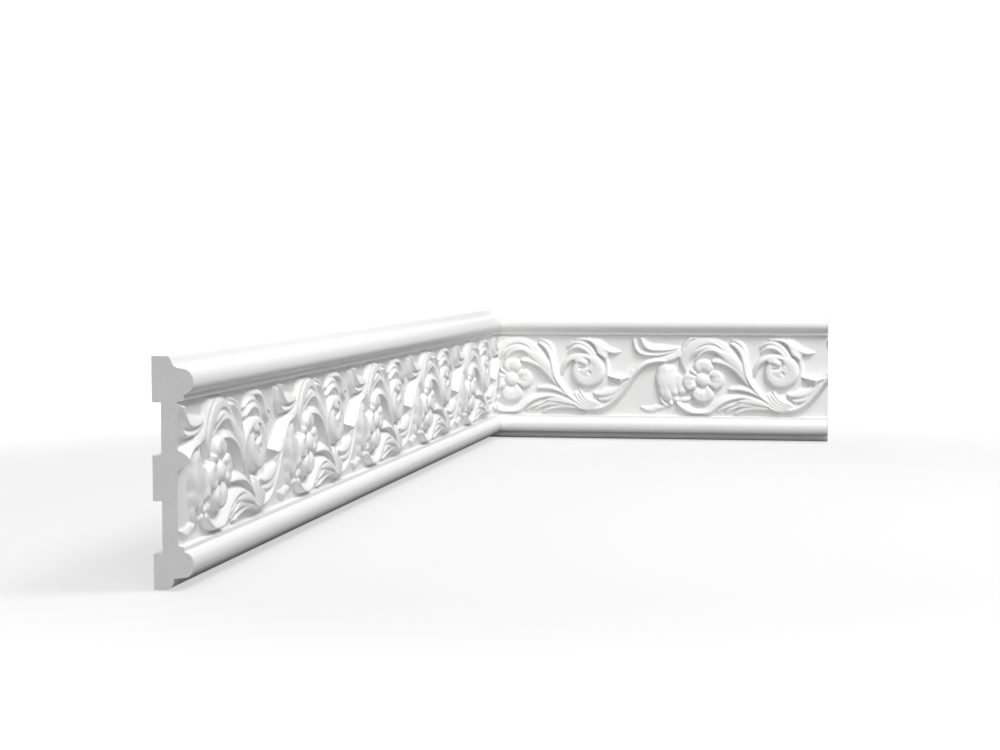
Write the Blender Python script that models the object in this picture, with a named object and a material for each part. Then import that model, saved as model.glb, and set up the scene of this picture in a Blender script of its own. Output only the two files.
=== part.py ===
"""A wall moulding run round an inside corner of a room.

Two lengths of one moulded bar meet in a mitre. The bar has a moulding along its top, a bead along its
bottom and a flat frieze between them, with a scrolling stem of leaves, flowers and bell flowers in
relief. Its back has two channels. The room's corner line is where the two backs would meet.

The carving is drawn once, for one repeat, as a height over the frieze's ground. In that drawing x runs
along the bar, counted from the room's corner along the short length, and z is the height from the
bar's bottom edge. Sizes of the section and the carving are in millimetres, the lengths in metres.
"""
import math

import bmesh
import bpy
import numpy as np

MM = 0.001

# Driving sizes
LONG_LENGTH = 840 * MM
SHORT_LENGTH = 295 * MM
MITRE_GAP = 0.3 * MM    # between the two lengths' mitred faces
HEIGHT = 110.0
REPEAT = 163.0          # one repeat of the carving

# The section: each corner's depth from the wall and height
TOP_EDGE = (8.1, HEIGHT)
COVE_HEAD = (10.2, 106.3)
COVE_FOOT = (15.6, 104.05)
NOSE = (20.4, 97.6)
NOSE_FOOT = (16.6, 92.1)
TOP_FILLET = ((15.6, 91.8), (15.6, 89.3))
LOW_FILLET = (15.2, 20.2)
BEAD_HEAD = (15.2, 18.1)
BEAD = (19.7, 12.4)
BEAD_FOOT = (16.4, 6.2)
SOFFIT = (9.8, 5.2)
FOOT = (4.0, 0.0)
GROUND_DEPTH = 12.2
GROUND_LOW = 20.9
GROUND_HIGH = 88.5
CHANNELS = ((16.9, 41.8), (63.3, 88.2))    # lower and upper edge of each channel in the back
CHANNEL_DEPTH = 4.4

# The carving's softness, and how finely the bar is drawn before its flat stretches are thinned
RIDGE_DROP = 0.4       # a leaf's ridge lies this share of its half width below its middle
CARVING_ROUNDING = 1.15
EDGE_MARGIN = 3.2       # the carving dies away over this
DRAWING_STEP = 0.7
ALONG_STEP = 2.2
ACROSS_STEP = 2.2
FACES_PER_METRE = 7600
SPARE_LENGTH = 12 * MM  # beyond each end, sawn off afterwards
SAW_REACH = 50 * MM     # how far the saw blocks stand out past the bar

# The part stands with the middle of its box's underside at the origin
ORIGIN_X = SHORT_LENGTH / 2
ORIGIN_Y = -LONG_LENGTH / 2

BAR_COLOUR = (0.90, 0.90, 0.89, 1.0)


def start_clean():
    for thing in list(bpy.data.objects):
        bpy.data.objects.remove(thing, do_unlink=True)
    for mesh in list(bpy.data.meshes):
        bpy.data.meshes.remove(mesh)


def make_collection(name):
    collection = bpy.data.collections.get(name) or bpy.data.collections.new(name)
    if collection.name not in bpy.context.scene.collection.children:
        bpy.context.scene.collection.children.link(collection)
    return collection


def heading(degrees):
    return np.array([math.cos(math.radians(degrees)), math.sin(math.radians(degrees))])


def curve(root, tip, leave, arrive, pull=0.38, count=22):
    """A cubic from root to tip; leave and arrive are its headings there, in degrees."""
    root = np.array(root, float)
    tip = np.array(tip, float)
    handle = np.linalg.norm(tip - root) * pull
    first = root + handle * heading(leave)
    last = tip - handle * heading(arrive)
    t = np.linspace(0, 1, count)[:, None]
    return (1-t)**3*root + 3*(1-t)**2*t*first + 3*(1-t)*t*t*last + t**3*tip


def join(*runs):
    return np.vstack([runs[0]] + [run[1:] for run in runs[1:]])


def taper(t, root, middle, tip, at):
    """A value that goes smoothly from root through middle, reached at a share of the way, to tip."""
    rise = np.sin(np.clip(t/at, 0, 1)*math.pi/2)
    fall = 1 - np.cos(np.clip((t-at)/(1-at), 0, 1)*math.pi/2)
    return np.where(t < at, root + (middle-root)*rise, middle + (tip-middle)*fall)


def measure_from(line, x, z):
    """For each place: its distance from the line, its side of it, its share of the line's length and
    how level the line runs there, from 1 to the right to -1 to the left."""
    steps = np.linalg.norm(np.diff(line, axis=0), axis=1)
    run = np.concatenate([[0], np.cumsum(steps)])
    nearest = np.full(x.shape, 1e9)
    share = np.zeros(x.shape)
    side = np.ones(x.shape)
    level = np.zeros(x.shape)
    for i, (start, end) in enumerate(zip(line[:-1], line[1:])):
        dx, dz = end - start
        t = np.clip(((x-start[0])*dx + (z-start[1])*dz)/(dx*dx + dz*dz), 0, 1)
        off_x = x - start[0] - t*dx
        off_z = z - start[1] - t*dz
        distance = off_x*off_x + off_z*off_z
        closer = distance < nearest
        nearest = np.where(closer, distance, nearest)
        share = np.where(closer, (run[i] + t*steps[i])/run[-1], share)
        side = np.where(closer, np.where(dx*(z-start[1]) >= dz*(x-start[0]), 1.0, -1.0), side)
        level = np.where(closer, dx/math.hypot(dx, dz), level)
    return np.sqrt(nearest), side, share, level


class Frieze:
    """One repeat of the carving, as heights over the ground that the tools below raise and cut."""

    def __init__(self, step):
        count = round(REPEAT/step)
        self.step = REPEAT/count
        self.x = np.arange(count)*self.step
        self.z = np.arange(GROUND_LOW, GROUND_HIGH + step, self.step)
        self.height = np.zeros((len(self.z), count))

    def places(self, low, high):
        """The stretches of the repeat that lie between low and high, wrapped at its ends."""
        for turn in range(-1, 3):
            shift = turn*REPEAT
            inside = np.nonzero((self.x + shift >= low) & (self.x + shift <= high))[0]
            if len(inside):
                columns = slice(inside[0], inside[-1] + 1)
                x, z = np.meshgrid(self.x[columns] + shift, self.z)
                yield columns, x, z

    def leaf(self, line, width, rise, lift=0.6, lean=0.0, shape=1.8, at=0.5):
        """A swelling strand along a line. width is its half width and rise its height, at root, middle
        and tip; lift is the height of its edge. Its ridge lies nearer its lower side, the steeper one;
        lean moves the ridge on, + to the line's left."""
        reach = max(width) + 1
        for columns, x, z in self.places(line[:, 0].min() - reach, line[:, 0].max() + reach):
            distance, side, t, level = measure_from(line, x, z)
            across = side*distance/np.maximum(taper(t, *width, at), 0.01)
            top = taper(t, *rise, 0.5)
            ridge = np.clip(lean - RIDGE_DROP*level, -0.8, 0.8)
            slope = np.where(across > ridge, (across-ridge)/(1-ridge), (ridge-across)/(1+ridge))
            body = np.clip(1 - slope**shape, 0, 1)**(1/shape)
            raised = np.where(np.abs(across) < 1, np.minimum(lift + (top-lift)*body, top), 0)
            self.height[:, columns] = np.maximum(self.height[:, columns], raised)

    def groove(self, line, width, depth, at=0.5):
        reach = max(width) + 1
        for columns, x, z in self.places(line[:, 0].min() - reach, line[:, 0].max() + reach):
            distance, _, t, _ = measure_from(line, x, z)
            across = np.clip(distance/taper(t, *width, at), 0, 1)
            cut = taper(t, *depth, at)*(1 - across*across)**1.5
            self.height[:, columns] = np.maximum(self.height[:, columns] - cut, 0)

    def dome(self, centre, radius, rise, base=0.0):
        for columns, x, z in self.places(centre[0] - radius, centre[0] + radius):
            out = np.clip(np.hypot(x - centre[0], z - centre[1])/radius, 0, 1)
            raised = np.where(out < 1, base + (rise-base)*np.sqrt(1 - out*out), 0)
            self.height[:, columns] = np.maximum(self.height[:, columns], raised)

    def flower(self, centre, petals, rise, lift=0.8, well=2.2, flutes=16):
        """Petals (heading, reach, half angle) round one middle: each climbs to its rim and rolls over."""
        far = max(reach for _, reach, _ in petals)
        brim = 0.83
        for columns, x, z in self.places(centre[0] - far, centre[0] + far):
            out = np.hypot(x - centre[0], z - centre[1])
            bearing = np.degrees(np.arctan2(z - centre[1], x - centre[0]))
            raised = np.zeros(x.shape)
            for middle, reach, half in petals:
                turn = np.abs((bearing - middle + 180) % 360 - 180)
                edge = reach*(0.44 + 0.56*np.clip(1 - (turn/half)**2, 0, 1)**0.38)
                a = np.where(turn < half, out/edge, 2)
                climb = well + (rise-well)*np.sin(np.clip((a-0.30)/0.34, 0, 1)*math.pi/2)
                roll = lift + (rise-lift)*np.sqrt(np.clip(1 - ((a-brim)/(1-brim))**2, 0, 1))
                fold = 0.5 + 0.5*np.sqrt(np.clip(np.radians(half-turn)*out/1.8, 0, 1))
                flute = 0.13*np.cos(np.radians(turn)*flutes)*np.clip(4*a*(1-a), 0, 1)
                petal = (np.where(a < brim, climb, roll) + flute)*fold
                raised = np.maximum(raised, np.where(a < 1, petal, 0))
            before = self.height[:, columns]
            kept = np.where(out < 0.72*far, 0, before)
            self.height[:, columns] = np.where(raised > 0, np.maximum(raised, kept), before)

    def soften(self, spread):
        """Rounds off the cuts, as moulding from a worn master does."""
        reach = int(3*spread/self.step) + 1
        offsets = np.arange(-reach, reach + 1)
        weights = np.exp(-0.5*(offsets*self.step/spread)**2)
        weights = weights/weights.sum()
        self.height = sum(w*np.roll(self.height, k, axis=1) for k, w in zip(offsets, weights))
        padded = np.pad(self.height, ((reach, reach), (0, 0)), mode="edge")
        rows = len(self.z)
        self.height = sum(w*padded[reach+k:reach+k+rows] for k, w in zip(offsets, weights))

    def run_out(self, margin):
        """Lets the carving die away before the ground's upper and lower edges."""
        room = np.minimum(self.z - GROUND_LOW, GROUND_HIGH - self.z)
        share = np.clip(room/margin - 0.4, 0, 1)
        self.height = self.height*(share*share*(3 - 2*share))[:, None]

    def sample(self, along, height):
        """The carving's height over the ground at any place along the bar and up it."""
        column = (along % REPEAT)/self.step
        row = np.clip((height - self.z[0])/self.step, 0, len(self.z) - 1.001)
        left = np.floor(column).astype(int)
        low = np.floor(row).astype(int)
        across = column - left
        up = row - low
        count = len(self.x)
        lower = self.height[low, left % count]*(1-across) + self.height[low, (left+1) % count]*across
        upper = self.height[low+1, left % count]*(1-across) + self.height[low+1, (left+1) % count]*across
        return lower*(1-up) + upper*up


def carve_main_stem(frieze):
    """The S-shaped stem from the calyx up to the joint that the bell flower hangs from, and its leaves."""
    stem = join(curve((262, 26.5), (293, 52), 0, 57, 0.36), curve((293, 52), (322, 67.4), 55, -2, 0.44))
    frieze.leaf(stem, (3.6, 3.6, 3.1), (4.8, 6.8, 5.0), lift=0.3, lean=0.25, shape=1.4, at=0.4)
    frieze.leaf(curve((156, 68.4), (171, 74.6), 5, 50), (2.4, 3.8, 2.2), (3.8, 4.4, 3.4), lift=1.0)
    blade = join(curve((289, 50), (276, 40.8), 232, 196), curve((276, 40.8), (261.8, 39.3), 196, 176))
    frieze.leaf(blade, (1.4, 4.4, 1.9), (5.8, 5.4, 4.2), lift=0.8, at=0.55)
    line = curve((287, 44.6), (266, 34.2), 228, 182, 0.42)
    frieze.leaf(line, (1.4, 3.6, 1.6), (6.2, 5.4, 4.0), lift=2.0)
    under_curl = curve((274.8, 53.2), (283.0, 49.6), -22, -28)
    frieze.leaf(under_curl, (0.4, 2.8, 3.7), (4.4, 6.8, 7.0), lift=0.2, shape=1.1, lean=1.2)
    line = curve((295, 58.6), (274.0, 54.4), 226, 160, 0.46)
    frieze.leaf(line, (1.4, 1.2, 0.6), (5.8, 6.8, 4.6), lift=3.0)
    line = curve((295, 56.0), (283.8, 47.0), 226, 262, 0.42)
    frieze.leaf(line, (1.6, 1.7, 1.2), (5.8, 7.0, 5.8), lift=2.0)
    line = curve((293, 51.0), (285.4, 45.0), 228, 235, 0.42)
    frieze.leaf(line, (1.4, 1.6, 1.0), (6.4, 6.4, 4.4), lift=1.6)
    frieze.groove(curve((293, 57.0), (279, 53.0), 222, 176), (0.5, 0.7, 0.5), (0.4, 1.0, 0.6))


def carve_bell_flower(frieze):
    line = curve((160.2, 57.2), (163.4, 44), 270, 274)
    frieze.leaf(line, (8.6, 10.4, 11.4), (4.2, 4.8, 4.4), lift=0.5, lean=-0.5, at=0.4, shape=1.8)
    lobes = (((157, 50), (157.0, 39.4), 3.4, 2.4), ((160.5, 48), (161.2, 35.8), 3.4, 3.8),
             ((165.5, 50), (167.2, 41.0), 4.0, 4.2), ((170.5, 52), (173.4, 42.0), 4.2, 4.4))
    for root, tip, half, end in lobes:
        line = curve(root, tip, 268, 266)
        frieze.leaf(line, (3.4, half, 0.85*half), (3.0, 3.6, end), lift=0.6*end)
    partings = (((153.0, 57), (158.4, 38), 0.6), ((160.0, 50), (164.0, 38.0), 0.5),
                ((168.5, 47), (170.6, 38), 0.4))
    for root, tip, depth in partings:
        frieze.groove(curve(root, tip, 280, 273), (1.2, 1.6, 1.2), (0.0, 0.5*depth, depth))
    frieze.leaf(curve((155.0, 37), (161.5, 29.4), 275, -20), (0.9, 1.3, 0.9), (2.4, 2.6, 2.0), lift=1.4)
    frieze.leaf(curve((170.5, 34.6), (180, 35.4), 0, 15), (1.6, 2.4, 1.2), (2.6, 3.0, 2.0), lift=1.6)
    for centre in ((164.0, 31.3), (168.4, 34.2)):
        frieze.dome(centre, 2.3, 3.9, base=1.0)
    for root, tip, half in (((156.5, 28.8), (138.8, 27.8), 2.4), ((160, 29.2), (150, 29.0), 1.8)):
        line = curve(root, tip, 198, 158, 0.45)
        frieze.leaf(line, (1.2, half, 0.6), (1.4, 1.9, 1.5), lift=0.2, lean=0.3, shape=1.8)


def carve_curl_leaf(frieze):
    """Strands that run back from the joint under the top moulding."""
    lower = join(curve((171, 77.0), (148, 72.9), 198, 180, 0.40),
                 curve((148, 72.9), (132.9, 84.8), 180, 97, 0.52))
    frieze.leaf(lower, (0.8, 2.3, 1.6), (2.6, 4.2, 3.4), lift=0.4, lean=0.1, shape=1.4)
    upper = join(curve((171, 78.6), (152, 78.0), 190, 180, 0.40),
                 curve((152, 78.0), (139.6, 86.6), 180, 112, 0.46))
    frieze.leaf(upper, (0.8, 3.4, 2.4), (3.0, 4.6, 4.0), lift=0.4, lean=0.3, shape=1.3)


def carve_crest_leaf(frieze):
    """The leaf that arches over the flower, with fingers that turn down its left side."""
    body = join(curve((229.8, 46.4), (215.4, 65.6), 122, 146, 0.35),
                curve((215.4, 65.6), (200.4, 68.0), 146, 192))
    frieze.leaf(body, (1.2, 6.0, 2.9), (5.2, 5.6, 5.0), lift=0.6, at=0.66, lean=0.3, shape=1.3)
    web = join(curve((227, 52), (213.4, 69.6), 114, 142), curve((213.4, 69.6), (203, 74.4), 142, 172))
    frieze.leaf(web, (1.6, 5.0, 1.4), (5.0, 5.5, 5.2), lift=3.0, shape=2.4, at=0.6)
    mantle = join(curve((224, 58), (214, 72.5), 110, 140), curve((214, 72.5), (186, 80.4), 140, 196),
                  curve((186, 80.4), (176.6, 58.8), 200, 290, 0.42))
    frieze.leaf(mantle, (1.5, 7.4, 0.9), (4.8, 4.6, 3.6), lift=1.2, at=0.69, shape=2.2)
    line = join(curve((224, 60), (216, 73), 108, 138), curve((216, 73), (172.0, 73.5), 138, 250, 0.55))
    frieze.leaf(line, (1.0, 2.0, 1.4), (4.8, 4.6, 3.0), lift=1.4)
    line = curve((180, 77), (167.5, 70.0), 215, 215, 0.45)
    frieze.leaf(line, (3.0, 3.2, 1.6), (3.8, 3.6, 3.4), lift=0.8)
    line = join(curve((220, 64), (211, 72.2), 125, 150), curve((211, 72.2), (184.2, 68.0), 150, 232, 0.52))
    frieze.leaf(line, (0.8, 2.4, 0.7), (4.4, 5.5, 2.6), lift=2.0, at=0.6)
    frieze.groove(curve((211, 76.4), (176, 77.6), 135, 232, 0.50), (0.8, 1.1, 0.8), (0.6, 1.4, 0.8))
    frieze.groove(curve((208, 76.0), (185.4, 76.6), 142, 216, 0.44), (0.8, 1.2, 0.9), (0.4, 1.5, 0.9))
    frieze.groove(curve((186, 76.0), (179.5, 62.5), 225, 282, 0.42), (0.6, 1.3, 0.6), (0.3, 0.7, 0.3))
    frieze.groove(curve((177.5, 80.0), (172.0, 69.0), 240, 262, 0.4), (0.6, 1.1, 0.6), (0.4, 0.9, 0.3))


def carve_long_leaf(frieze):
    blade = join(curve((246, 33), (226.8, 62), 138, 98, 0.36),
                 curve((226.8, 62), (215.0, 82.2), 98, 158, 0.42))
    frieze.leaf(blade, (1.4, 3.2, 1.4), (5.6, 6.0, 4.4), lift=0.6, at=0.75, lean=0.25, shape=1.4)
    line = curve((226.8, 64), (215.0, 84.8), 90, 172, 0.48)
    frieze.leaf(line, (0.8, 2.0, 0.9), (3.4, 3.6, 2.4), lift=0.3)


def carve_low_leaves(frieze):
    """The stem that rings the flower from below, and the leaves over and under it."""
    line = curve((246, 33), (213.6, 43.6), 141, 194, 0.45)
    frieze.leaf(line, (1.2, 3.8, 1.4), (5.2, 5.6, 3.2), lift=0.6, at=0.6, lean=0.2, shape=1.3)
    ring = join(curve((247, 30), (222, 37.8), 150, 184),
                curve((222, 37.8), (200.6, 28.4), 186, 224, 0.36),
                curve((200.6, 28.4), (171.5, 31), 220, 142, 0.40))
    frieze.leaf(ring, (1.6, 3.2, 3.2), (4.8, 5.0, 4.4), lift=0.5, lean=0.2, shape=1.3)
    web = curve((248, 29.2), (221.5, 33.2), 158, 188)
    frieze.leaf(web, (1.6, 3.4, 1.2), (4.8, 5.2, 4.2), lift=2.6, shape=2.2)
    for tip, leave in (((203.6, 24.8), 166), ((210.5, 24.8), 170), ((217.8, 22.8), 173)):
        line = curve((250, 27.3), tip, leave, 217, 0.42)
        frieze.leaf(line, (1.8, 3.2, 1.0), (4.2, 4.4, 3.0), lift=0.8, lean=0.25, shape=1.3)
    frieze.groove(curve((222, 31.6), (215.4, 28.0), 205, 215), (0.6, 1.2, 0.9), (0.6, 2.0, 1.4))


def carve_volute(frieze):
    """The scroll: its outer turn, the full coil within it, and the lobes that part at its upper left."""
    turn = join(curve((250, 34), (266, 41), 5, 40, 0.35),
                curve((266, 41), (271.8, 69.5), 48, 100, 0.36))
    frieze.leaf(turn, (4.5, 3.0, 2.0), (4.0, 2.6, 3.6), lift=0.2)
    line = curve((263.5, 69), (238.8, 78.6), 112, 226, 0.48)
    frieze.leaf(line, (2.6, 2.4, 0.8), (4.0, 4.0, 2.2), lift=0.8, at=0.45)
    line = curve((262.0, 67), (239.8, 74.0), 114, 236, 0.52)
    frieze.leaf(line, (2.6, 2.8, 0.8), (4.2, 4.8, 3.0), lift=0.8, at=0.5)
    turns = np.linspace(0, 1, 60)
    bearing = np.radians(158 + 322*turns)
    radius = 9.5 - 3.0*np.clip((turns - 0.76)/0.24, 0, 1)**1.5
    coil = np.stack([256.0 + radius*np.cos(bearing), 60.0 + 1.02*radius*np.sin(bearing)], axis=1)
    frieze.leaf(coil, (3.0, 6.4, 2.8), (4.4, 5.0, 4.8), lift=0.6, at=0.44, shape=2.6)
    frieze.dome((256.0, 60.0), 8.6, 4.8, base=3.6)
    frieze.leaf(curve((247.5, 68.0), (254.4, 65.4), 0, -40), (3.2, 3.4, 2.9), (5.0, 5.8, 5.6), lift=3.6)
    line = curve((257, 70.2), (234.6, 55.6), 172, 262, 0.50)
    frieze.leaf(line, (3.0, 2.7, 0.8), (5.2, 4.8, 2.8), lift=2.2)
    eye = join(curve((253.0, 68.8), (257.4, 65.2), -20, 268, 0.45),
               curve((257.4, 65.2), (249.4, 60.6), 262, 176, 0.5))
    frieze.groove(eye, (0.7, 1.5, 1.2), (0.8, 2.6, 1.8))
    frieze.groove(curve((257.2, 57.8), (258.4, 55.8), 290, 290), (1.1, 1.3, 1.1), (1.2, 1.8, 1.2))
    frieze.groove(curve((270.0, 68.5), (270.6, 57), 280, 268), (1.0, 1.4, 0.7), (0.6, 0.9, 0.2))


def carve_scroll_crest(frieze):
    """The leaf on top of the scroll: strands that fan up and left, and a pointed tip to the right."""
    frieze.leaf(curve((271, 70), (265.5, 84.0), 84, 112), (2.0, 4.2, 2.2), (4.6, 4.2, 2.8), lift=1.6)
    strands = 4
    for k in range(strands):
        s = k/(strands-1)
        tip = (246.5 + 15.5*s, 85.2 + 1.4*math.sin(0.8*math.pi*s))
        bend = (265 + 2.2*s, 76 + 1.5*s)
        strand = join(curve((271.6, 69.6), bend, 140 - 8*s, 108),
                      curve(bend, tip, 106, 182 - 52*s, 0.48))
        frieze.leaf(strand, (1.0, 1.9, 0.9), (5.0, 5.0 - 0.4*s, 2.8), lift=2.6)
    line = curve((268, 79.4), (283.6, 74.6), -38, 4)
    frieze.leaf(line, (2.6, 2.8, 0.6), (4.0, 4.4, 2.4), lift=0.6, shape=1.4)


def carve_calyx(frieze):
    """The wrapped leaf at the foot that every stem springs from."""
    line = curve((247, 38), (268, 29), 296, 4, 0.42)
    frieze.leaf(line, (3.5, 6.2, 3.5), (3.6, 4.8, 3.8), lift=0.6, shape=1.6)
    strands = 5
    for k in range(strands):
        s = k/(strands-1)
        strand = curve((243 + 7*s, 33.5 + 8.5*s), (263 + 6.0*s, 25.8 + 6*s), 302 - 8*s, 4*s, 0.42)
        frieze.leaf(strand, (0.8, 1.8, 1.0), (4.0, 5.6 - 0.4*s, 3.8), lift=3.0)
    frieze.groove(curve((261, 39.2), (266.8, 31.4), 290, 318), (0.8, 1.5, 1.2), (1.4, 3.0, 2.0))


def carve_flower(frieze):
    petals = ((88, 17.6, 43), (141, 14.0, 12), (189, 18.0, 38), (270, 20.2, 43), (0, 17.6, 43))
    frieze.flower((191.2, 51.2), petals, rise=5.2)
    frieze.dome((190.7, 50.6), 5.8, 6.4, base=3.0)


def carve_frieze():
    frieze = Frieze(DRAWING_STEP)
    carve_main_stem(frieze)
    carve_bell_flower(frieze)
    carve_curl_leaf(frieze)
    carve_crest_leaf(frieze)
    carve_long_leaf(frieze)
    carve_low_leaves(frieze)
    carve_volute(frieze)
    carve_scroll_crest(frieze)
    carve_calyx(frieze)
    carve_flower(frieze)
    frieze.soften(CARVING_ROUNDING)
    frieze.run_out(EDGE_MARGIN)
    return frieze


def straight(start, end, step):
    count = max(1, round(math.dist(start, end)/step))
    t = np.linspace(0, 1, count + 1)[:, None]
    return np.array(start)*(1-t) + np.array(end)*t


def bar_section():
    """The bar's outline, once round: depth from the wall and height."""
    top_round = curve(TOP_EDGE, COVE_HEAD, -38, -64, 0.36, 4)
    cove = curve(COVE_HEAD, COVE_FOOT, -64, -8, 0.36, 6)
    nose = join(curve(COVE_FOOT, NOSE, -8, -90, 0.38, 7), curve(NOSE, NOSE_FOOT, -90, -146, 0.42, 5))
    ground = straight((GROUND_DEPTH, GROUND_HIGH), (GROUND_DEPTH, GROUND_LOW), ACROSS_STEP)
    bead = join(curve(BEAD_HEAD, BEAD, -14, -90, 0.40, 6), curve(BEAD, BEAD_FOOT, -90, -160, 0.36, 5))
    foot = curve(SOFFIT, FOOT, -90, -180, 0.5, 6)
    back = [(0, 0)]
    for low, high in CHANNELS:
        back += [(0, low), (CHANNEL_DEPTH, low), (CHANNEL_DEPTH, high), (0, high)]
    back.append((0, HEIGHT))
    return np.vstack([join(top_round, cove, nose), TOP_FILLET, ground, LOW_FILLET, bead, foot, back])


def make_blank(name, start, end, place, frieze):
    """A bar from start to end along the drawing, closed at both ends, with the carving raised on it.

    place turns a distance along, a depth and a height, in metres, into a point of the part."""
    section = bar_section()
    section = np.vstack([section, section[:1]])
    rows = len(section)
    stations = max(2, round((end - start)/(ALONG_STEP*MM))) + 1
    bm = bmesh.new()
    bmesh.ops.create_grid(bm, x_segments=stations - 1, y_segments=rows - 1, size=0.5)
    mesh = bpy.data.meshes.new(name)
    bm.to_mesh(mesh)
    bm.free()
    places = np.empty(len(mesh.vertices)*3, dtype=np.float32)
    mesh.vertices.foreach_get("co", places)
    places = places.reshape(-1, 3)
    station = np.rint((places[:, 0] + 0.5)*(stations - 1)).astype(int)
    row = np.rint((places[:, 1] + 0.5)*(rows - 1)).astype(int)
    along = (start + (end - start)*station/(stations - 1))/MM
    depth = section[row, 0]
    height = section[row, 1]
    on_ground = np.isclose(depth, GROUND_DEPTH) & (height > GROUND_LOW) & (height < GROUND_HIGH)
    depth = depth + np.where(on_ground, frieze.sample(along, height), 0)
    moved = place(along*MM, depth*MM, height*MM)
    mesh.vertices.foreach_set("co", moved.astype(np.float32).ravel())
    bm = bmesh.new()
    bm.from_mesh(mesh)
    bmesh.ops.remove_doubles(bm, verts=bm.verts, dist=0.00001)
    rims = [edge for edge in bm.edges if edge.is_boundary]
    bmesh.ops.holes_fill(bm, edges=rims, sides=0)
    bmesh.ops.recalc_face_normals(bm, faces=bm.faces)
    bm.to_mesh(mesh)
    bm.free()
    return bpy.data.objects.new(name, mesh)


def make_saw_block(name, low, high, slant):
    """What is kept of a bar: a block whose end at the room's corner is slanted by the mitre."""
    mesh = bpy.data.meshes.new(name)
    bm = bmesh.new()
    bmesh.ops.create_cube(bm, size=1.0)
    for vert in bm.verts:
        corner = [low[i] if vert.co[i] < 0 else high[i] for i in range(3)]
        vert.co = slant(*corner)
    bmesh.ops.recalc_face_normals(bm, faces=bm.faces)
    bm.to_mesh(mesh)
    bm.free()
    block = bpy.data.objects.new(name, mesh)
    block.hide_render = True
    block.display_type = "WIRE"
    return block


def make_material(name, colour, roughness):
    material = bpy.data.materials.new(name)
    material.use_nodes = True
    shader = material.node_tree.nodes["Principled BSDF"]
    shader.inputs["Base Color"].default_value = colour
    shader.inputs["Roughness"].default_value = roughness
    shader.inputs["Metallic"].default_value = 0.0
    return material


def finish_length(blank, block, length, colour):
    thin = blank.modifiers.new("thin_flats", "DECIMATE")
    thin.decimate_type = "COLLAPSE"
    drawn = sum(len(face.vertices) - 2 for face in blank.data.polygons)
    thin.ratio = FACES_PER_METRE*(length + 2*SPARE_LENGTH)/drawn
    saw = blank.modifiers.new("saw_ends", "BOOLEAN")
    saw.operation = "INTERSECT"
    saw.solver = "EXACT"
    saw.object = block
    blank.data.materials.append(make_material(blank.name + "_plaster_white", colour, 0.45))


def build():
    start_clean()
    parts = make_collection("wall_moulding")
    cutters = make_collection("saw_blocks")
    frieze = carve_frieze()
    corner = np.array([-ORIGIN_X, -ORIGIN_Y, 0.0])
    setback = MITRE_GAP/math.sqrt(2)
    under = -SAW_REACH
    over = HEIGHT*MM + SAW_REACH

    def place_short(along, depth, height):
        return np.stack([along, -depth, height], axis=1) + corner

    def place_long(along, depth, height):
        return np.stack([depth, along, height], axis=1) + corner

    def slant_short(x, y, z):
        end = x if x > 0 else setback - y
        return (end + corner[0], y + corner[1], z)

    def slant_long(x, y, z):
        end = y if y < 0 else -setback - x
        return (x + corner[0], end + corner[1], z)

    short = make_blank("short_length", -SPARE_LENGTH, SHORT_LENGTH + SPARE_LENGTH, place_short, frieze)
    short_block = make_saw_block("short_saw_block", (0, under, under), (SHORT_LENGTH, SAW_REACH, over),
                                 slant_short)
    long = make_blank("long_length", -LONG_LENGTH - SPARE_LENGTH, SPARE_LENGTH, place_long, frieze)
    long_block = make_saw_block("long_saw_block", (under, -LONG_LENGTH, under), (SAW_REACH, 0, over),
                                slant_long)
    for blank, block, length in ((short, short_block, SHORT_LENGTH), (long, long_block, LONG_LENGTH)):
        parts.objects.link(blank)
        cutters.objects.link(block)
        finish_length(blank, block, length, BAR_COLOUR)


build()
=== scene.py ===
"""The white wall moulding: two mitred lengths of carved bar, with their finish, a pale floor and soft light.

The carving is drawn once, for one repeat, as a height over the frieze's ground. In that drawing x runs
along the bar, counted from the room's corner along the short length, and z is the height from the
bar's bottom edge. The section and the carving are in millimetres, everything else in metres.
"""
import math

import bmesh
import bpy
import numpy as np
from mathutils import Matrix, Vector


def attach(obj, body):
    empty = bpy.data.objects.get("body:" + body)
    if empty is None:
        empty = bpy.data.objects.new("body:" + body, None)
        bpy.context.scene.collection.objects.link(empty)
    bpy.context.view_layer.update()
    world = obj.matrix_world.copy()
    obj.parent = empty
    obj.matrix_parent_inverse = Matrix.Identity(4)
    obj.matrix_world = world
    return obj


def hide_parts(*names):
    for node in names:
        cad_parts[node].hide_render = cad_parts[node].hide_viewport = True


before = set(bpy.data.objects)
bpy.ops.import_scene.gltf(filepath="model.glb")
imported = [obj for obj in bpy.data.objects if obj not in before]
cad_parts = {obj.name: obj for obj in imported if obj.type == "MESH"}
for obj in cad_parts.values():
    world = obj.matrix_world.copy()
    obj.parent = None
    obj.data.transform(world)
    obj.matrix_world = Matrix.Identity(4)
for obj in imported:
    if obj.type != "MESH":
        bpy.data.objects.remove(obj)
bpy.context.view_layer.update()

MM = 0.001

# The bar
LONG_LENGTH = 840 * MM
SHORT_LENGTH = 295 * MM
MITRE_GAP = 0.06 * MM   # the joint is filled, so only a hairline shows
HEIGHT = 110.0
REPEAT = 163.0

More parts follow.
